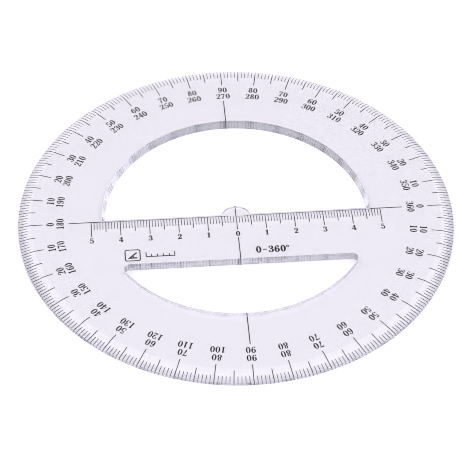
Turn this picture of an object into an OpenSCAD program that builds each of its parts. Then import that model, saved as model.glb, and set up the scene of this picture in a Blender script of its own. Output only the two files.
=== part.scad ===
// Full-circle protractor: one clear moulded plate with its scales printed on the underside.
// Origin at the centre of the circle on the resting face. +X to the right along the base line,
// +Y towards the top 90 degree mark, +Z up out of the face that is read. Millimetres.

/* [Plate] */
// Outer diameter of the plate
plate_d = 150; // [140:1:180]
// Full thickness of the plate
plate_t = 3.2; // [2.6:0.1:4]
// Thickness left at the bevelled rim and at the ruler's bevelled edge
edge_t = 1.3; // [0.9:0.1:1.6]
// Width of the rim bevel, measured along the radius
rim_bevel_w = 3.7; // [2.5:0.1:5]
// Radius that blends the rim bevel into the flat top
rim_blend_r = 5; // [2:0.5:8]
// Rounding of the rim's two corners
rim_round_r = 0.2; // [0.1:0.05:0.3]
// Width of the ring beside the upper opening
ring_w = 28.85; // [27:0.05:32]
// Draft of the upper opening's curved wall: how much narrower it is at the resting face
wall_draft = 0.8; // [0:0.1:1.5]
// Width of the ring beside the lower opening
low_ring_w = 28.4; // [27:0.2:32]

/* [Ruler bar] */
// How far the bar's bevelled edge stands past the base line
bar_far = 0.7; // [0.4:0.1:1.5]
// Distance from the base line to the bar's square near edge
bar_near = 22.2; // [20:0.1:26]
// Width of the bevel along the bar's far edge
bar_bevel_w = 4.8; // [3:0.1:5]
// Corner radius of the lower opening
corner_r = 2; // [1:0.25:3]

/* [Centre lug] */
// Radius of the thin round lug at the centre of the bar
lug_r = 5.2; // [4:0.1:6]
// Distance of the lug's own centre below the base line
lug_drop = 0.8; // [0:0.1:1.5]
// Thickness of the lug
lug_t = 1.5; // [1.4:0.1:2]
// How far the lug's flat runs into the bar's bevel
lug_run = 1; // [0.6:0.1:1.4]
// Radius of the shallow arc that ends the lug's flat
lug_run_r = 8.3; // [8:0.1:9]

/* [Degree scale] */
// Line width of the 1 degree marks
mark_1_w = 0.19; // [0.12:0.01:0.3]
// Line width of the 5 and 10 degree marks
mark_5_w = 0.26; // [0.15:0.01:0.35]
// Length of the 1 degree marks, inward from the rim
mark_1_l = 3.6; // [2.5:0.1:4]
// Length of the 5 degree marks
mark_5_l = 5.55; // [4.5:0.05:6]
// Length of the 10 degree marks
mark_10_l = 7.55; // [6.5:0.05:8]
// Extra length of the two marks on the base line
mark_0_extra = 0.8; // [0:0.1:1]
// Height of the degree numbers
digit_h = 2.55; // [2:0.05:3]
// Step from one degree digit to the next
digit_step = 1.74; // [1.6:0.02:2.2]
// Distance from the rim to the foot of the outer row of numbers
outer_row = 11.6; // [11.3:0.1:13]
// Distance from the rim to the foot of the inner row of numbers
inner_row = 15; // [14.6:0.1:16]

/* [Lines] */
// Width of the base line and the centre line
line_w = 0.3; // [0.15:0.01:0.4]
// Gap between the numbers and the ends of the base and centre lines
line_gap = 1.3; // [0.8:0.1:2]

/* [Ruler scale] */
// Length of the 1 mm marks
mm_l = 3.5; // [2.5:0.1:4]
// Length of the 5 mm marks
half_l = 4.95; // [4.4:0.05:5.5]
// Length of the 10 mm marks
cm_l = 6.8; // [6:0.1:7]
// Line width of the 1 mm marks
mm_w = 0.2; // [0.12:0.01:0.3]
// Line width of the 5 and 10 mm marks
cm_w = 0.26; // [0.15:0.01:0.35]
// Height of the ruler numbers
cm_digit_h = 2.3; // [2:0.05:2.6]
// Extra weight all round the ruler numbers
cm_digit_extra = 0.03; // [0:0.01:0.06]
// Distance from the base line to the foot of the ruler numbers
cm_row = 9.9; // [9.6:0.1:10.4]
// Half length of the ruler scale in centimetres
cm_count = 5; // [4:1:5]

/* [Generic marks] */
// Height of the range number to the right of the centre line
range_h = 2.9; // [2:0.1:3.4]
// Extra weight all round the range number
range_extra = 0.06; // [0:0.01:0.1]
// Side of the framed angle sign
sign_s = 5.4; // [4:0.1:6]
// Length of the small scale bar beside the sign
bar_mark_l = 10; // [5:1:10]

/* [Hidden] */
// Thickness of the printed ink
ink_t = 0.03;
// Depth of the shallow relief that keeps the ink off the resting plane
relief = 0.05;
plate_r = plate_d / 2;
hole_r = plate_r - ring_w;
low_hole_r = plate_r - low_ring_w;
bevel_drop = plate_t - edge_t;
bevel_slope = atan(bevel_drop / rim_bevel_w);
blend_l = rim_blend_r * tan(bevel_slope / 2);
band_r = plate_r - inner_row - line_gap - 0.6;
line_r = plate_r - inner_row - line_gap;
rim_clear = rim_round_r + 0.1;
blend_n = 6;
bez_n = 5;
ring_n = 24;
over = 1;
$fn = 96;

clear_c = [0.93, 0.92, 0.96, 0.5];
ink_c = [0.06, 0.05, 0.08];

// ---------- plate ----------

// A point on the rim's small corner rounding.
function round_pt(cx, cz, a) = [cx + rim_round_r * cos(a), cz + rim_round_r * sin(a)];

// Blend between the flat top and the bevel: an arc tangent to both.
function blend_pt(i) =
  let(a = bevel_slope * i / blend_n)
  [
    plate_r - rim_bevel_w - blend_l + rim_blend_r * sin(a),
    plate_t - rim_blend_r * (1 - cos(a))
  ];

module disc_profile() {
  polygon(concat(
    [[0, 0]],
    [for (a = [270, 300, 330, 360]) round_pt(plate_r - rim_round_r, rim_round_r, a)],
    [for (a = [0, 20, 40, 60]) round_pt(plate_r - rim_round_r, edge_t - rim_round_r * 0.6, a)],
    [for (i = [blend_n:-1:0]) blend_pt(i)],
    [[0, plate_t]]
  ));
}

// The upper opening: a cone that widens upwards, stopped by the bar's far edge and the lug.
module half_moon_cut() {
  reach = wall_draft * over / plate_t;
  h = plate_t + 2 * over;
  difference() {
    rotate_extrude()
      polygon([
        [0, -over],
        [hole_r - wall_draft - reach, -over],
        [hole_r + reach, plate_t + over],
        [0, plate_t + over]
      ]);
    translate([-plate_r, -2 * plate_r + bar_far, -2 * over])
      cube([2 * plate_r, 2 * plate_r, h + 2 * over]);
    translate([0, -lug_drop, -2 * over])
      cylinder(r = lug_r, h = h + 2 * over);
  }
}

// The corner arc touches the near edge and the ring's inner circle from inside.
module low_opening_outline() {
  fy = -bar_near - corner_r;
  fx = sqrt(pow(low_hole_r - corner_r, 2) - fy * fy);
  k = low_hole_r / (low_hole_r - corner_r);
  difference() {
    circle(r = low_hole_r);
    translate([-plate_r, -bar_near])
      square([2 * plate_r, 2 * plate_r]);
    for (s = [-1, 1])
      polygon([[s * fx, fy], [s * fx, over], [s * plate_r, over], [s * fx * k, fy * k]]);
  }
  for (s = [-1, 1])
    translate([s * fx, fy])
      circle(r = corner_r);
}

// Wedge that bevels the bar's far edge; it stops at the ring's inner circle and spares the lug.
module bar_bevel_cut() {
  rise = bevel_drop / bar_bevel_w;
  difference() {
    intersection() {
      translate([0, 0, -over])
        cylinder(r = hole_r, h = plate_t + 2 * over);
      rotate([90, 0, 90])
        translate([0, 0, -plate_r])
          linear_extrude(2 * plate_r)
            polygon([
              [bar_far - bar_bevel_w, plate_t],
              [bar_far + over, edge_t - over * rise],
              [bar_far + over, plate_t + over],
              [bar_far - bar_bevel_w, plate_t + over]
            ]);
    }
    translate([0, -lug_drop, -over])
      cylinder(r = lug_r, h = over + lug_t);
  }
}

// Shallow relief under the printed areas.
module relief_outline() {
  chan_w = 1.6;
  difference() {
    circle(r = plate_r + over);
    circle(r = band_r);
  }
  translate([-cm_count * 10 - 2, -bar_near - over])
    square([cm_count * 20 + 4, bar_near + bar_far + lug_r + over]);
  translate([-plate_r, -chan_w / 2])
    square([2 * plate_r, chan_w]);
  translate([-chan_w / 2, -plate_r])
    square([chan_w, 2 * plate_r]);
}

module plate() {
  color(clear_c)
    difference() {
      rotate_extrude()
        disc_profile();
      half_moon_cut();
      translate([0, 0, -over])
        linear_extrude(plate_t + 2 * over)
          low_opening_outline();
      bar_bevel_cut();
      translate([0, lug_run_r - lug_run, lug_t])
        cylinder(r = lug_run_r, h = plate_t);
      translate([0, 0, -over])
        linear_extrude(over + relief)
          relief_outline();
    }
}

// ---------- ink ----------

module ink() {
  color(ink_c)
    translate([0, 0, relief - ink_t])
      linear_extrude(ink_t)
        children();
}

module radial_mark(a, l, w) {
  rotate([0, 0, a])
    translate([plate_r - l, -w / 2])
      square([l - rim_clear, w]);
}

// ---------- digits, one unit high, centred on x = 0 ----------

function bez(p, t) =
  let(u = 1 - t)
  u * u * u * p[0] + 3 * u * u * t * p[1] + 3 * u * t * t * p[2] + t * t * t * p[3];

// Direction of travel along the curve.
function bez_dir(p, t) =
  let(u = 1 - t, d = u * u * (p[1] - p[0]) + 2 * u * t * (p[2] - p[1]) + t * t * (p[3] - p[2]))
  d / norm(d);

// A point on one side of a pen stroke whose width eases from w0 to w1.
function pen_pt(p, t, w0, w1, s) =
  let(w = w0 + (w1 - w0) * t * t * (3 - 2 * t), d = bez_dir(p, t))
  bez(p, t) + s * w / 2 * [-d[1], d[0]];

// Both sides of a chain of curves, each given as [points, width at start, width at end].
function chain_side(segs, s) = concat(
  [for (g = segs, i = [0:bez_n - 1]) pen_pt(g[0], i / bez_n, g[1], g[2], s)],
  [pen_pt(segs[len(segs) - 1][0], 1, segs[len(segs) - 1][1], segs[len(segs) - 1][2], s)]
);

module stroke(segs) {
  left = chain_side(segs, 1);
  polygon(concat(chain_side(segs, -1), [for (i = [len(left) - 1:-1:0]) left[i]]));
}

function oval(cx, cy, rx, ry) = [
  for (i = [0:ring_n - 1])
    let(a = 360 * i / ring_n)
    [cx + rx * cos(a), cy + ry * sin(a)]
];

// Oval with heavy sides and hairline top and bottom.
module bowl(cy, rx, ry, side, hair) {
  difference() {
    polygon(oval(0, cy, rx, ry));
    polygon(oval(0, cy, rx - side, ry - hair));
  }
}

module dot(x, y, r) {
  translate([x, y])
    circle(r = r, $fn = 10);
}

hair = 0.06;
stem = 0.188;

module zero() {
  bowl(0.5, 0.3, 0.51, stem, hair);
}

module one() {
  polygon([
    [-0.2, 0], [0.22, 0], [0.22, hair], [stem / 2 + 0.01, hair + 0.03], [stem / 2 + 0.01, 1],
    [0.02, 1], [-0.2, 0.86], [-0.18, 0.81], [-stem / 2 + 0.01, 0.86],
    [-stem / 2 + 0.01, hair + 0.03], [-0.2, hair]
  ]);
}

module two() {
  dot(-0.18, 0.77, 0.085);
  stroke([
    [[[-0.235, 0.77], [-0.23, 0.93], [-0.11, 0.975], [0.01, 0.975]], hair, hair],
    [[[0.01, 0.975], [0.15, 0.975], [0.21, 0.86], [0.21, 0.73]], hair, stem],
    [[[0.21, 0.73], [0.21, 0.5], [-0.08, 0.3], [-0.22, 0.07]], stem, hair]
  ]);
  polygon([
    [-0.28, 0], [0.25, 0], [0.3, 0.25], [0.26, 0.25], [0.19, 0.13], [-0.22, 0.13], [-0.28, 0.04]
  ]);
}

lower_bowl = [
  [[[0.22, 0.28], [0.22, 0.1], [0.1, 0.03], [-0.03, 0.03]], stem, hair],
  [[[-0.03, 0.03], [-0.14, 0.03], [-0.22, 0.07], [-0.24, 0.17]], hair, hair]
];

module three() {
  dot(-0.17, 0.8, 0.08);
  stroke([
    [[[-0.22, 0.8], [-0.18, 0.94], [-0.1, 0.975], [0, 0.975]], hair, hair],
    [[[0, 0.975], [0.12, 0.975], [0.18, 0.88], [0.18, 0.77]], hair, stem],
    [[[0.18, 0.77], [0.18, 0.64], [0.08, 0.53], [-0.06, 0.53]], stem, hair]
  ]);
  stroke(concat([[[[-0.07, 0.53], [0.1, 0.53], [0.22, 0.44], [0.22, 0.28]], hair, stem]], lower_bowl));
  dot(-0.19, 0.19, 0.085);
}

module four() {
  difference() {
    polygon([
      [0.05, 1], [0.19, 1], [0.19, 0.32], [0.32, 0.32], [0.32, 0.24], [0.19, 0.24], [0.19, hair],
      [0.29, hair], [0.29, 0], [-0.06, 0], [-0.06, hair], [0.03, hair], [0.03, 0.24],
      [-0.31, 0.24], [-0.31, 0.3]
    ]);
    polygon([[0.03, 0.32], [0.03, 0.83], [-0.232, 0.32]]);
  }
}

module five() {
  polygon([[-0.19, 0.99], [-0.22, 0.53], [-0.16, 0.56], [-0.14, 0.86], [0.19, 0.86], [0.23, 0.99]]);
  stroke(concat([
    [[[-0.18, 0.57], [-0.13, 0.61], [-0.08, 0.63], [-0.01, 0.63]], hair, hair],
    [[[-0.01, 0.63], [0.14, 0.63], [0.22, 0.5], [0.22, 0.28]], hair, stem]
  ], lower_bowl));
  dot(-0.19, 0.19, 0.085);
}

module six() {
  dot(0.17, 0.84, 0.08);
  stroke([
    [[[0.22, 0.84], [0.18, 0.95], [0.12, 0.975], [0.06, 0.975]], hair, hair],
    [[[0.06, 0.975], [-0.12, 0.975], [-0.205, 0.7], [-0.205, 0.36]], hair, stem - 0.015]
  ]);
  bowl(0.31, 0.29, 0.32, stem, hair);
}

module seven() {
  polygon([
    [-0.28, 0.72], [-0.24, 0.72], [-0.2, 0.85], [0.2, 0.85], [0.28, 0.93], [0.28, 1], [-0.25, 1]
  ]);
  stroke([[[[0.22, 0.95], [0.1, 0.62], [-0.03, 0.36], [-0.04, 0]], hair, stem]]);
}

module eight() {
  bowl(0.74, 0.23, 0.26, stem - 0.03, hair);
  bowl(0.26, 0.29, 0.27, stem, hair);
}

module nine() {
  translate([0, 1])
    rotate([0, 0, 180])
      six();
}

module digit(n) {
  if (n == 0) zero();
  if (n == 1) one();
  if (n == 2) two();
  if (n == 3) three();
  if (n == 4) four();
  if (n == 5) five();
  if (n == 6) six();
  if (n == 7) seven();
  if (n == 8) eight();
  if (n == 9) nine();
}

function digits_of(v) =
  v >= 100 ? [floor(v / 100), floor(v / 10) % 10, v % 10] :
  v >= 10 ? [floor(v / 10), v % 10] : [v];

// A whole number centred on x = 0 with its foot on y = 0.
module number(v, h, step) {
  d = digits_of(v);
  for (i = [0:len(d) - 1])
    translate([(i - (len(d) - 1) / 2) * step, 0])
      scale(h)
        digit(d[i]);
}

// A degree number at polar angle a, its top pointing outwards.
module degree_number(v, a, foot) {
  rotate([0, 0, a - 90])
    translate([0, plate_r - foot])
      number(v, digit_h, digit_step);
}

function base_shift(k) = k % 18 == 0 ? 0.6 : 0;

// ---------- degree scale ----------

module degree_marks_1() {
  ink()
    for (i = [0:359])
      if (i % 5 != 0)
        radial_mark(i, mark_1_l, mark_1_w);
}

module degree_marks_5() {
  ink()
    for (i = [5:10:355])
      radial_mark(i, mark_5_l, mark_5_w);
}

module degree_marks_10() {
  ink()
    for (i = [0:10:350])
      radial_mark(i, mark_10_l + (i % 180 == 0 ? mark_0_extra : 0), mark_5_w);
}

module outer_numbers_top() {
  ink()
    for (k = [0:18])
      degree_number(k <= 9 ? 10 * k : 180 - 10 * k, 180 - 10 * k, outer_row + base_shift(k));
}

module inner_numbers_top() {
  ink()
    for (k = [0:18])
      degree_number(180 + 10 * k, 180 - 10 * k, inner_row + base_shift(k));
}

module outer_numbers_bottom() {
  ink()
    for (k = [1:17])
      degree_number(k <= 9 ? 10 * k : 180 - 10 * k, -10 * k, outer_row);
}

module inner_numbers_bottom() {
  ink()
    for (k = [1:17])
      degree_number(10 * k, -10 * k, inner_row);
}

// ---------- lines ----------

module base_line() {
  ink()
    translate([-line_r + 1, -line_w / 2])
      square([2 * line_r - 2, line_w]);
}

module centre_line_top() {
  ink()
    translate([-line_w / 2, hole_r - wall_draft + 0.1])
      square([line_w, line_r - hole_r + wall_draft - 0.1]);
}

module centre_line_lug() {
  ink()
    translate([-line_w / 2, line_w / 2])
      square([line_w, lug_r - lug_drop - line_w / 2 - 0.3]);
}

module centre_line_bar() {
  ink()
    translate([-line_w / 2, -bar_near + 0.1])
      square([line_w, bar_near - cm_row - 0.7]);
}

module centre_line_bottom() {
  ink()
    translate([-line_w / 2, -line_r])
      square([line_w, line_r - low_hole_r - 0.1]);
}

// ---------- ruler scale ----------

module ruler_mark(x, l, w) {
  translate([x - w / 2, -l])
    square([w, l - line_w / 2]);
}

module ruler_marks_1() {
  ink()
    for (i = [-10 * cm_count:10 * cm_count])
      if (i % 5 != 0)
        ruler_mark(i, mm_l, mm_w);
}

module ruler_marks_5() {
  ink()
    for (i = [-10 * cm_count + 5:10:10 * cm_count - 5])
      ruler_mark(i, half_l, cm_w);
}

module ruler_marks_10() {
  ink()
    for (i = [-cm_count:cm_count])
      ruler_mark(10 * i, cm_l, cm_w);
}

module ruler_numbers() {
  ink()
    for (i = [-cm_count:cm_count])
      translate([10 * i, -cm_row])
        offset(delta = cm_digit_extra, chamfer = true)
          number(abs(i), cm_digit_h, digit_step);
}

// ---------- generic marks ----------

// Rounded frame around a plain angle: two arms and an arc of 45 degrees.
module angle_sign() {
  arm = sign_s * 0.6;
  arc_r = sign_s * 0.42;
  w = 0.5;
  ink()
    translate([-39.1, -19.2]) {
      difference() {
        rounded_square(sign_s, 0.9);
        translate([0.35, 0.35])
          rounded_square(sign_s - 0.7, 0.6);
      }
      translate([1, 1.2]) {
        polygon([
          [0, 0], [arm, 0], [arm, w], [w * (1 + sqrt(2)), w],
          [arm, arm - w * sqrt(2)], [arm - w / sqrt(2), arm - w / sqrt(2)]
        ]);
        intersection() {
          difference() {
            circle(r = arc_r);
            circle(r = arc_r - 0.35);
          }
          polygon([[0, 0], [sign_s, 0], [sign_s, sign_s]]);
        }
      }
    }
}

module rounded_square(s, r) {
  translate([r, 0])
    square([s - 2 * r, s]);
  translate([0, r])
    square([s, s - 2 * r]);
  for (x = [r, s - r], y = [r, s - r])
    translate([x, y])
      circle(r = r);
}

// Short bar with upright ends and a middle tick, true to the millimetre scale.
module scale_bar() {
  ink()
    translate([-32, -17.6]) {
      square([bar_mark_l, 0.35]);
      for (x = [0, 1])
        translate([x * (bar_mark_l - 0.3), 0])
          square([0.3, 2.2]);
      for (i = [1:4])
        translate([i * bar_mark_l / 5 - 0.15, 0])
          square([0.3, 1.3]);
    }
}

// The range of the degree scale: nought, dash, 360 and the degree ring.
module range_number() {
  step = range_h * 0.72;
  ink()
    translate([6.4, -18.2]) {
      offset(delta = range_extra, chamfer = true)
        number(0, range_h, step);
      translate([step * 0.68, range_h * 0.42])
        square([step * 0.64, range_h * 0.12]);
      offset(delta = range_extra, chamfer = true)
        translate([step * 3, 0])
          number(360, range_h, step);
      translate([step * 4.75, range_h * 0.82])
        difference() {
          circle(r = range_h * 0.18);
          circle(r = range_h * 0.09);
        }
    }
}

plate();
degree_marks_1();
degree_marks_5();
degree_marks_10();
outer_numbers_top();
inner_numbers_top();
outer_numbers_bottom();
inner_numbers_bottom();
base_line();
centre_line_top();
centre_line_lug();
centre_line_bar();
centre_line_bottom();
ruler_marks_1();
ruler_marks_5();
ruler_marks_10();
ruler_numbers();
angle_sign();
scale_bar();
range_number();
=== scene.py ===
"""Looks of a clear full-circle protractor lying on a white studio floor.

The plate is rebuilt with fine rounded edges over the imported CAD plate, and every printed
CAD node gets a copy that sits half in, half out of the plate's lower face. Lengths are in
millimetres until the plate is scaled, and in metres from then on.
"""

import math

import bmesh
import bpy
from mathutils import Matrix, Vector

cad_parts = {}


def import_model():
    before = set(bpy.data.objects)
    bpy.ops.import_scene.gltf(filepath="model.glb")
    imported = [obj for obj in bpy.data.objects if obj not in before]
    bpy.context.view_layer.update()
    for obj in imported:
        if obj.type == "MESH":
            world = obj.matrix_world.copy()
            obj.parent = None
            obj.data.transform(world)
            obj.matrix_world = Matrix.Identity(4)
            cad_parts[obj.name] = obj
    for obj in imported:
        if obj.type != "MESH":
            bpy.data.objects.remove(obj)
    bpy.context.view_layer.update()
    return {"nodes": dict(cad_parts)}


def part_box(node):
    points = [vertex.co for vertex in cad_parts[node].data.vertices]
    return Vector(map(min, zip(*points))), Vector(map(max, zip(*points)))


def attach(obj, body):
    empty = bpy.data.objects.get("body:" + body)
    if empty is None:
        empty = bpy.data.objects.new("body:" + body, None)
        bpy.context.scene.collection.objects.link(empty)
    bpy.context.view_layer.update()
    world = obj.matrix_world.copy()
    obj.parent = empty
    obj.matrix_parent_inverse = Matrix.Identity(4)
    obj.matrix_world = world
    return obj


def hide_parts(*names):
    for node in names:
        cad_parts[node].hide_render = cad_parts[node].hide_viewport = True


MM = 0.001

# Plate, in millimetres; the same sizes as in the CAD.
RIM_BEVEL_W = 3.7
RIM_BLEND_R = 5.0
EDGE_T = 1.3
PLATE_T = 3.2
HOLE_R = 46.15
WALL_DRAFT = 0.8
LOW_HOLE_R = 46.6
BAR_FAR = 0.7
BAR_NEAR = 22.2
BAR_BEVEL_W = 4.8
BAR_BLEND_R = 1.5
CORNER_R = 2.0
LUG_R = 5.2
LUG_DROP = 0.8
LUG_T = 1.5
LUG_RUN = 1.0
LUG_RUN_R = 8.3

# Roundings of the visual plate, and the height at which its lower face lies, in millimetres.
SOFT = 0.22
FOOT_SOFT = 0.2
BASE_Z = 0.02

# Cutters, in millimetres: how far they reach past what they cut.
OVER = 1.0
EDGE_PAST = 0.3
TOP_LIFT = 0.0005
LUG_CLEAR = 0.02
MERGE_GAP = 0.0003

# Fineness of the rebuilt plate.
RIM_STEPS = 720
HOLE_STEPS = 400
LUG_STEPS = 64
LUG_KEEP_STEPS = 96
LUG_RUN_STEPS = 180
CORNER_STEPS = 16
SOFT_STEPS = 4
BLEND_STEPS = 10
WEDGE_STEPS = 12
SHARP_ANGLE = 28
FLAT_WEIGHT = 100

# Clear plastic.
PLASTIC_COLOR = (0.896, 0.89, 0.91, 1)
PLASTIC_IOR = 1.5
ABSORB_COLOR = (0.34, 0.36, 0.68, 1)
ABSORB_DENSITY = 6.5
SMUDGE_SCALE = 60
SMUDGE_DETAIL = 4
SMUDGE_FROM = (0.45, 0.75)
SMUDGE_ROUGHNESS = (0.004, 0.03)
WAVE_SCALE = 35
WAVE_STRENGTH = 0.03
WAVE_HEIGHT = 0.0002

# Lines on the upright walls: a wall counts as upright as its normal's rise falls to the second value.
LINE_SCALE = 15000
LINE_SLOPE = 3.0
WALL_RISE = (0.35, 0.05)

# Black print.
INK_SCALE = 900
INK_DETAIL = 3
INK_DARK = (0.006, 0.005, 0.008, 1)
INK_LIGHT = (0.03, 0.027, 0.036, 1)
INK_BLEND = (0.3, 0.75)
INK_ROUGHNESS = (0.45, 0.7)
INK_BUMP = 0.2
INK_HEIGHT = 0.00002

# Camera, in metres and degrees; the lens and the sensor are in millimetres.
CAM_DISTANCE = 0.6796404
CAM_ELEVATION = 46.093
CAM_AZIMUTH = 4.9986
CAM_ROLL = 0.6731
CAM_TARGET = Vector((-0.0003736, -0.0089881, 0.0))
CAM_CLIP = (0.01, 20)
SENSOR_W = 36.0
LENS = 150.605

# Floor, in metres.
FLOOR_HALF = 3.0
FLOOR_Z = -0.00002
FLOOR_ROUGHNESS = 0.9
FLOOR_GRAIN = 250
FLOOR_DARK = (0.92, 0.92, 0.92, 1)
FLOOR_LIGHT = (0.94, 0.94, 0.94, 1)

# Light: strengths of the dome, and its patches' places and sizes in degrees.
LIGHT_TINT = (1.01, 0.985, 1.03, 1)
NEAR_LEVEL = 1.42
FAR_LEVEL = 1.37
SIDE_SOFT = 0.5
HORIZON_LEVEL = 1.2
HORIZON_LOW = 0.12
HORIZON_HIGH = 0.4
FLAG_LEVEL = 0.1
FLAG_INNER = 8
FLAG_OUTER = 19
LOW_UP = 3
LOW_TURN = 13
LOW_LEVEL = 0.6
LOW_INNER = 14
LOW_OUTER = 38

# Light paths: the plate carries light to its edges in many bounces.
CLEAR_BOUNCES = 48
DIFFUSE_BOUNCES = 16
FILTER_WIDTH = 1.0

PRINT_NODES = [
    "degree_marks_1", "degree_marks_5", "degree_marks_10",
    "outer_numbers_top", "inner_numbers_top",
    "outer_numbers_bottom", "inner_numbers_bottom",
    "base_line", "centre_line_top", "centre_line_lug",
    "centre_line_bar", "centre_line_bottom",
    "ruler_marks_1", "ruler_marks_5", "ruler_marks_10", "ruler_numbers",
    "angle_sign", "scale_bar", "range_number",
]


# ---------- meshes ----------

def add_mesh(name, verts, faces):
    mesh = bpy.data.meshes.new(name)
    mesh.from_pydata(verts, [], faces)
    mesh.validate()
    mesh.update()
    obj = bpy.data.objects.new(name, mesh)
    bpy.context.scene.collection.objects.link(obj)
    return obj


def loft(name, loops):
    """A closed solid through equal loops, listed upwards, each loop anticlockwise from above."""
    n = len(loops[0])
    verts = [p for loop in loops for p in loop]
    faces = [tuple(range(n))[::-1]]
    for k in range(len(loops) - 1):
        a, b = k * n, (k + 1) * n
        faces += [(a + i, a + (i + 1) % n, b + (i + 1) % n, b + i) for i in range(n)]
    last = (len(loops) - 1) * n
    faces.append(tuple(range(last, last + n)))
    return add_mesh(name, verts, faces)


def circle(cx, cy, r, z, n, start=0.0):
    return [
        (cx + r * math.cos(start + math.tau * i / n), cy + r * math.sin(start + math.tau * i / n), z)
        for i in range(n)
    ]


def arc(cx, cy, r, a0, a1, n, z):
    """n + 1 points from angle a0 to a1, in radians."""
    return [
        (cx + r * math.cos(a0 + (a1 - a0) * i / n), cy + r * math.sin(a0 + (a1 - a0) * i / n), z)
        for i in range(n + 1)
    ]


def corner_on_slope(slope, rise_at_edge):
    """Rounding between an upright edge and a slope that rises inwards: (inset, z) points."""
    m = math.tan(slope)
    zc = rise_at_edge + m * SOFT - SOFT * math.sqrt(1 + m * m)
    top = math.pi / 2 - slope
    return [
        (SOFT - SOFT * math.cos(top * i / SOFT_STEPS), zc + SOFT * math.sin(top * i / SOFT_STEPS))
        for i in range(SOFT_STEPS + 1)
    ]


def rim_profile(radius, thick):
    """(radius, z) of the disc's outside, upwards: foot rounding, wall, rim rounding, bevel, blend."""
    slope = math.atan((thick - EDGE_T) / RIM_BEVEL_W)
    out = []
    for i in range(SOFT_STEPS + 1):
        a = math.pi / 2 * i / SOFT_STEPS
        out.append((radius - FOOT_SOFT * (1 - math.sin(a)), BASE_Z + FOOT_SOFT * (1 - math.cos(a))))
    out += [(radius - inset, z) for inset, z in corner_on_slope(slope, EDGE_T)]
    flat_r = radius - RIM_BEVEL_W - RIM_BLEND_R * math.tan(slope / 2)
    for i in range(BLEND_STEPS, -1, -1):
        a = slope * i / BLEND_STEPS
        out.append((flat_r + RIM_BLEND_R * math.sin(a), thick - RIM_BLEND_R * (1 - math.cos(a))))
    return out


def half_moon(d, z):
    """Outline of the upper opening grown by d: ring arc, bar edge, over the lug, bar edge.
    The ring's wall leans back, so the opening widens upwards."""
    r = HOLE_R + d - WALL_DRAFT * (1 - z / PLATE_T)
    y, lug = BAR_FAR - d, LUG_R - d
    a = math.asin(y / r)
    b = math.asin((y + LUG_DROP) / lug)
    ring = arc(0, 0, r, a, math.pi - a, HOLE_STEPS, z)
    over_lug = arc(0, -LUG_DROP, lug, math.pi - b, b, LUG_STEPS, z)
    return ring + over_lug


def low_opening(d, z):
    """Outline of the lower opening grown by d, anticlockwise from its right corner."""
    fy = -BAR_NEAR - CORNER_R
    fx = math.sqrt((LOW_HOLE_R - CORNER_R) ** 2 - fy * fy)
    a = math.atan2(fy, fx)
    r, c = LOW_HOLE_R + d, CORNER_R + d
    ring = arc(0, 0, r, -math.pi - a, a, HOLE_STEPS, z)
    right = arc(fx, fy, c, a, math.pi / 2, CORNER_STEPS, z)
    left = arc(-fx, fy, c, math.pi / 2, math.pi - a, CORNER_STEPS, z)
    return ring + right[1:] + left[:-1]


def opening_cutter(name, outline, thick):
    """A cutter whose flared ends leave rounded edges at the plate's lower and upper faces."""
    foot = FOOT_SOFT
    levels = [(BASE_Z - OVER, foot)]
    angles = [math.pi / 2 * i / SOFT_STEPS for i in range(SOFT_STEPS + 1)]
    levels += [(BASE_Z + foot * (1 - math.cos(a)), foot * (1 - math.sin(a))) for a in angles]
    levels += [(thick - SOFT * (1 - math.sin(a)), SOFT * (1 - math.cos(a))) for a in angles]
    levels.append((thick + OVER, SOFT))
    return loft(name, [outline(d, z) for z, d in levels])


def bar_bevel_cutter(thick):
    """The wedge taken off the bar's far edge, inside the ring's inner circle."""
    slope = math.atan((thick - EDGE_T) / BAR_BEVEL_W)
    border = BAR_FAR - BAR_BEVEL_W
    flat_y = border - BAR_BLEND_R * math.tan(slope / 2)
    profile = []
    for i in range(BLEND_STEPS + 1):
        a = slope * i / BLEND_STEPS
        profile.append((flat_y + BAR_BLEND_R * math.sin(a), thick - BAR_BLEND_R * (1 - math.cos(a))))
    edge = [(BAR_FAR - inset, z) for inset, z in corner_on_slope(slope, EDGE_T)][::-1]
    y0, z0 = profile[-1]
    y1, z1 = edge[0]
    for i in range(1, WEDGE_STEPS):
        part = i / WEDGE_STEPS
        profile.append((y0 + (y1 - y0) * part, z0 + (z1 - z0) * part))
    profile += edge
    profile.append((BAR_FAR + EDGE_PAST, edge[-1][1] - EDGE_PAST))
    profile[0] = (profile[0][0], thick + TOP_LIFT)
    top = thick + OVER
    loops = []
    for y, z in profile:
        x = math.sqrt(HOLE_R ** 2 - y * y)
        loops.append([(-x, y, z), (-x, y, top), (x, y, top), (x, y, z)])
    return loft("bar_bevel_cutter", loops)


def cut(obj, tool):
    """Takes tool's shape out of obj and removes the tool."""
    step = obj.modifiers.new("cut", "BOOLEAN")
    step.operation = "DIFFERENCE"
    step.solver = "EXACT"
    step.object = tool
    bpy.context.view_layer.update()
    depsgraph = bpy.context.evaluated_depsgraph_get()
    mesh = bpy.data.meshes.new_from_object(obj.evaluated_get(depsgraph))
    obj.modifiers.clear()
    obj.data = mesh
    bpy.data.objects.remove(tool)


def merge_points(obj, gap):
    """Merges points closer than gap and drops faces without area."""
    mesh = bmesh.new()
    mesh.from_mesh(obj.data)
    bmesh.ops.remove_doubles(mesh, verts=mesh.verts, dist=gap)
    bmesh.ops.dissolve_degenerate(mesh, dist=gap, edges=mesh.edges)
    mesh.to_mesh(obj.data)
    mesh.free()


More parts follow.
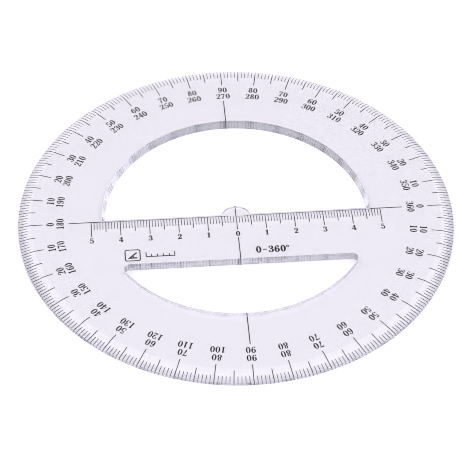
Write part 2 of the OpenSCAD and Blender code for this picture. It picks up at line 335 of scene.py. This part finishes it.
def build_plate(radius, thick):
    """The disc with its two openings, the bar's bevel and the flat top of the lug."""
    disc = loft("clear_plate", [
        circle(0, 0, r, z, RIM_STEPS) for r, z in rim_profile(radius, thick)
    ])
    wedge = bar_bevel_cutter(thick)
    lug = loft("lug_keep", [
        circle(0, -LUG_DROP, LUG_R + LUG_CLEAR, z, LUG_KEEP_STEPS) for z in (-OVER, LUG_T)
    ])
    cut(wedge, lug)
    cut(disc, opening_cutter("half_moon_cutter", half_moon, thick))
    cut(disc, opening_cutter("low_opening_cutter", low_opening, thick))
    cut(disc, wedge)
    run = loft("lug_run", [
        circle(0, LUG_RUN_R - LUG_RUN, LUG_RUN_R, z, LUG_RUN_STEPS) for z in (LUG_T, thick + OVER)
    ])
    cut(disc, run)
    merge_points(disc, MERGE_GAP)
    disc.data.transform(Matrix.Scale(MM, 4))
    disc.name = "clear_plate"
    disc.data.name = "clear_plate"
    return disc


def smooth_by_angle(obj, degrees):
    """Smooth shading that keeps edges sharper than the angle, and large flat faces flat."""
    mesh = obj.data
    mesh.polygons.foreach_set("use_smooth", [True] * len(mesh.polygons))
    mesh.set_sharp_from_angle(angle=math.radians(degrees))
    weighted = obj.modifiers.new("flat_faces_stay_flat", "WEIGHTED_NORMAL")
    weighted.keep_sharp = True
    weighted.weight = FLAT_WEIGHT


# ---------- materials ----------

def new_material(name):
    mat = bpy.data.materials.new(name)
    mat.use_nodes = True
    mat.node_tree.nodes.clear()
    return mat, mat.node_tree.nodes, mat.node_tree.links


def map_range(nodes, source, target):
    """A node that maps the source range onto the target range, each a (low, high) pair."""
    node = nodes.new("ShaderNodeMapRange")
    node.inputs["From Min"].default_value = source[0]
    node.inputs["From Max"].default_value = source[1]
    node.inputs["To Min"].default_value = target[0]
    node.inputs["To Max"].default_value = target[1]
    return node


def clear_plastic():
    """Clear plastic: faint tint, smudges and ripples, and fine lengthwise lines on upright walls."""
    mat, nodes, links = new_material("clear_plastic")
    out = nodes.new("ShaderNodeOutputMaterial")
    bsdf = nodes.new("ShaderNodeBsdfPrincipled")
    bsdf.inputs["Base Color"].default_value = PLASTIC_COLOR
    bsdf.inputs["IOR"].default_value = PLASTIC_IOR
    bsdf.inputs["Transmission Weight"].default_value = 1.0
    coord = nodes.new("ShaderNodeTexCoord")
    smudge = nodes.new("ShaderNodeTexNoise")
    smudge.inputs["Scale"].default_value = SMUDGE_SCALE
    smudge.inputs["Detail"].default_value = SMUDGE_DETAIL
    rough = map_range(nodes, SMUDGE_FROM, SMUDGE_ROUGHNESS)
    wave = nodes.new("ShaderNodeTexNoise")
    wave.inputs["Scale"].default_value = WAVE_SCALE
    wave.inputs["Detail"].default_value = 1
    bump = nodes.new("ShaderNodeBump")
    bump.inputs["Strength"].default_value = WAVE_STRENGTH
    bump.inputs["Distance"].default_value = WAVE_HEIGHT
    absorb = nodes.new("ShaderNodeVolumeAbsorption")
    absorb.inputs["Color"].default_value = ABSORB_COLOR
    absorb.inputs["Density"].default_value = ABSORB_DENSITY
    links.new(coord.outputs["Object"], smudge.inputs["Vector"])
    links.new(coord.outputs["Object"], wave.inputs["Vector"])
    links.new(smudge.outputs["Fac"], rough.inputs["Value"])
    links.new(rough.outputs["Result"], bsdf.inputs["Roughness"])
    links.new(wave.outputs["Fac"], bump.inputs["Height"])
    links.new(wall_lines(nodes, links, coord, bump.outputs["Normal"]), bsdf.inputs["Normal"])
    links.new(bsdf.outputs["BSDF"], out.inputs["Surface"])
    links.new(absorb.outputs["Volume"], out.inputs["Volume"])
    return mat


def wall_lines(nodes, links, coord, normal):
    """Tips the normal up and down along each upright wall, as fine lengthwise tool lines do."""
    place = nodes.new("ShaderNodeSeparateXYZ")
    line = nodes.new("ShaderNodeTexNoise")
    line.noise_dimensions = "1D"
    line.inputs["Scale"].default_value = LINE_SCALE
    line.inputs["Detail"].default_value = 1
    facing = nodes.new("ShaderNodeNewGeometry")
    tilt = nodes.new("ShaderNodeSeparateXYZ")
    steep = map_range(nodes, WALL_RISE, (0, LINE_SLOPE))
    rise = nodes.new("ShaderNodeMath")
    rise.operation = "ABSOLUTE"
    centre = nodes.new("ShaderNodeMath")
    centre.operation = "SUBTRACT"
    centre.inputs[1].default_value = 0.5
    amount = nodes.new("ShaderNodeMath")
    amount.operation = "MULTIPLY"
    tip = nodes.new("ShaderNodeCombineXYZ")
    tipped = nodes.new("ShaderNodeVectorMath")
    unit = nodes.new("ShaderNodeVectorMath")
    unit.operation = "NORMALIZE"
    links.new(coord.outputs["Object"], place.inputs[0])
    links.new(place.outputs["Z"], line.inputs["W"])
    links.new(line.outputs["Fac"], centre.inputs[0])
    links.new(facing.outputs["True Normal"], tilt.inputs[0])
    links.new(tilt.outputs["Z"], rise.inputs[0])
    links.new(rise.outputs["Value"], steep.inputs["Value"])
    links.new(centre.outputs["Value"], amount.inputs[0])
    links.new(steep.outputs["Result"], amount.inputs[1])
    links.new(amount.outputs["Value"], tip.inputs["Z"])
    links.new(normal, tipped.inputs[0])
    links.new(tip.outputs["Vector"], tipped.inputs[1])
    links.new(tipped.outputs["Vector"], unit.inputs[0])
    return unit.outputs["Vector"]


def black_ink():
    """Black print, a little uneven in tone, gloss and thickness."""
    mat, nodes, links = new_material("black_print")
    out = nodes.new("ShaderNodeOutputMaterial")
    bsdf = nodes.new("ShaderNodeBsdfPrincipled")
    coord = nodes.new("ShaderNodeTexCoord")
    patch = nodes.new("ShaderNodeTexNoise")
    patch.inputs["Scale"].default_value = INK_SCALE
    patch.inputs["Detail"].default_value = INK_DETAIL
    tone = nodes.new("ShaderNodeValToRGB")
    tone.color_ramp.elements[0].position = INK_BLEND[0]
    tone.color_ramp.elements[0].color = INK_DARK
    tone.color_ramp.elements[1].position = INK_BLEND[1]
    tone.color_ramp.elements[1].color = INK_LIGHT
    rough = map_range(nodes, (0, 1), INK_ROUGHNESS)
    bump = nodes.new("ShaderNodeBump")
    bump.inputs["Strength"].default_value = INK_BUMP
    bump.inputs["Distance"].default_value = INK_HEIGHT
    links.new(coord.outputs["Object"], patch.inputs["Vector"])
    links.new(patch.outputs["Fac"], tone.inputs["Fac"])
    links.new(patch.outputs["Fac"], rough.inputs["Value"])
    links.new(patch.outputs["Fac"], bump.inputs["Height"])
    links.new(tone.outputs["Color"], bsdf.inputs["Base Color"])
    links.new(rough.outputs["Result"], bsdf.inputs["Roughness"])
    links.new(bump.outputs["Normal"], bsdf.inputs["Normal"])
    links.new(bsdf.outputs["BSDF"], out.inputs["Surface"])
    return mat


def white_floor():
    """Matt white paper with a faint grain."""
    mat, nodes, links = new_material("white_floor")
    out = nodes.new("ShaderNodeOutputMaterial")
    bsdf = nodes.new("ShaderNodeBsdfPrincipled")
    bsdf.inputs["Roughness"].default_value = FLOOR_ROUGHNESS
    bsdf.inputs["Specular IOR Level"].default_value = 0.0
    coord = nodes.new("ShaderNodeTexCoord")
    grain = nodes.new("ShaderNodeTexNoise")
    grain.inputs["Scale"].default_value = FLOOR_GRAIN
    tone = nodes.new("ShaderNodeValToRGB")
    tone.color_ramp.elements[0].color = FLOOR_DARK
    tone.color_ramp.elements[1].color = FLOOR_LIGHT
    links.new(coord.outputs["Object"], grain.inputs["Vector"])
    links.new(grain.outputs["Fac"], tone.inputs["Fac"])
    links.new(tone.outputs["Color"], bsdf.inputs["Base Color"])
    links.new(bsdf.outputs["BSDF"], out.inputs["Surface"])
    return mat


# ---------- pieces ----------

def dress_plate(material):
    """The clear plate in place of the CAD plate, sized from the CAD plate's box."""
    low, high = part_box("plate")
    plate = build_plate(high.x / MM, high.z / MM)
    plate.data.materials.clear()
    plate.data.materials.append(material)
    smooth_by_angle(plate, SHARP_ANGLE)
    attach(plate, "root")
    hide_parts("plate")


def dress_print(node, source, material):
    """A copy of a printed node that spans from the resting plane to just inside the plate."""
    mesh = source.data.copy()
    mesh.name = "print_" + node
    low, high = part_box(node)
    middle = (low.z + high.z) / 2
    top = 2 * BASE_Z * MM
    for v in mesh.vertices:
        v.co.z = top if v.co.z > middle else 0.0
    mesh.materials.clear()
    mesh.materials.append(material)
    piece = bpy.data.objects.new("print_" + node, mesh)
    bpy.context.scene.collection.objects.link(piece)
    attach(piece, "root")
    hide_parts(node)


# ---------- stage ----------

def lay_floor(material):
    s = FLOOR_HALF
    floor = add_mesh("floor", [(-s, -s, 0), (s, -s, 0), (s, s, 0), (-s, s, 0)], [(0, 1, 2, 3)])
    floor.location.z = FLOOR_Z
    floor.data.materials.append(material)


def camera_direction():
    el, az = math.radians(CAM_ELEVATION), math.radians(CAM_AZIMUTH)
    return Vector((math.sin(az) * math.cos(el), math.cos(az) * math.cos(el), -math.sin(el)))


def set_camera():
    look = camera_direction()
    right = look.cross(Vector((0, 0, 1))).normalized()
    up = right.cross(look)
    roll = math.radians(CAM_ROLL)
    x = right * math.cos(roll) + up * math.sin(roll)
    y = up * math.cos(roll) - right * math.sin(roll)
    place = CAM_TARGET - look * CAM_DISTANCE
    data = bpy.data.cameras.new("camera")
    data.sensor_width = SENSOR_W
    data.lens = LENS
    data.clip_start, data.clip_end = CAM_CLIP
    cam = bpy.data.objects.new("camera", data)
    rows = [[x[i], y[i], -look[i], place[i]] for i in range(3)]
    cam.matrix_world = Matrix(rows + [[0, 0, 0, 1]])
    bpy.context.scene.collection.objects.link(cam)
    bpy.context.scene.camera = cam


def light_dome():
    """A soft white dome, a little stronger behind the camera. Two dark patches stand in for a dim
    far wall: one where the flat faces mirror it, so that the print keeps its black, and one low on
    the far horizon to the right, which the ruler's bevel mirrors and which is seen through the
    wall of the upper opening."""
    world = bpy.data.worlds.new("studio")
    bpy.context.scene.world = world
    world.use_nodes = True
    nodes, links = world.node_tree.nodes, world.node_tree.links
    nodes.clear()
    out = nodes.new("ShaderNodeOutputWorld")
    back = nodes.new("ShaderNodeBackground")
    back.inputs["Color"].default_value = LIGHT_TINT
    coord = nodes.new("ShaderNodeTexCoord")
    look = camera_direction()
    mirrored = (look.x, look.y, -look.z)
    up, turn = math.radians(LOW_UP), math.radians(LOW_TURN)
    far_low = (math.sin(turn) * math.cos(up), math.cos(turn) * math.cos(up), math.sin(up))
    far = sky_step(nodes, links, coord, (0, 1, 0), -SIDE_SOFT, SIDE_SOFT)
    high = sky_step(nodes, links, coord, (0, 0, 1), HORIZON_LOW, HORIZON_HIGH)
    flag = sky_step(nodes, links, coord, mirrored, cosine(FLAG_OUTER), cosine(FLAG_INNER))
    low = sky_step(nodes, links, coord, far_low, cosine(LOW_OUTER), cosine(LOW_INNER))
    level = mix_levels(nodes, links, far, NEAR_LEVEL, FAR_LEVEL)
    level = mix_levels(nodes, links, high, HORIZON_LEVEL, level)
    level = mix_levels(nodes, links, flag, level, FLAG_LEVEL)
    level = mix_levels(nodes, links, low, level, LOW_LEVEL)
    links.new(level, back.inputs["Strength"])
    links.new(back.outputs["Background"], out.inputs["Surface"])


def cosine(degrees):
    return math.cos(math.radians(degrees))


def sky_step(nodes, links, coord, direction, low, high):
    """0 to 1 as the cosine of the angle to a world direction goes from low to high."""
    aim = nodes.new("ShaderNodeVectorMath")
    aim.operation = "DOT_PRODUCT"
    aim.inputs[1].default_value = direction
    step = nodes.new("ShaderNodeMapRange")
    step.interpolation_type = "SMOOTHSTEP"
    step.inputs["From Min"].default_value = low
    step.inputs["From Max"].default_value = high
    links.new(coord.outputs["Generated"], aim.inputs[0])
    links.new(aim.outputs["Value"], step.inputs["Value"])
    return step.outputs["Result"]


def mix_levels(nodes, links, factor, first, second):
    """first where factor is 0 and second where it is 1; each is a number or another output."""
    mix = nodes.new("ShaderNodeMix")
    links.new(factor, mix.inputs[0])
    for socket, value in ((mix.inputs[2], first), (mix.inputs[3], second)):
        if isinstance(value, (int, float)):
            socket.default_value = value
        else:
            links.new(value, socket)
    return mix.outputs[0]


def set_light_paths():
    scene = bpy.context.scene
    scene.view_settings.view_transform = "Standard"
    scene.cycles.use_denoising = True
    scene.cycles.max_bounces = CLEAR_BOUNCES
    scene.cycles.transmission_bounces = CLEAR_BOUNCES
    scene.cycles.glossy_bounces = CLEAR_BOUNCES
    scene.cycles.diffuse_bounces = DIFFUSE_BOUNCES
    scene.cycles.blur_glossy = 0
    scene.cycles.filter_width = FILTER_WIDTH


def main():
    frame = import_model()
    dress_plate(clear_plastic())
    ink = black_ink()
    for node in PRINT_NODES:
        dress_print(node, frame["nodes"][node], ink)
    lay_floor(white_floor())
    light_dome()
    set_camera()
    set_light_paths()


main()
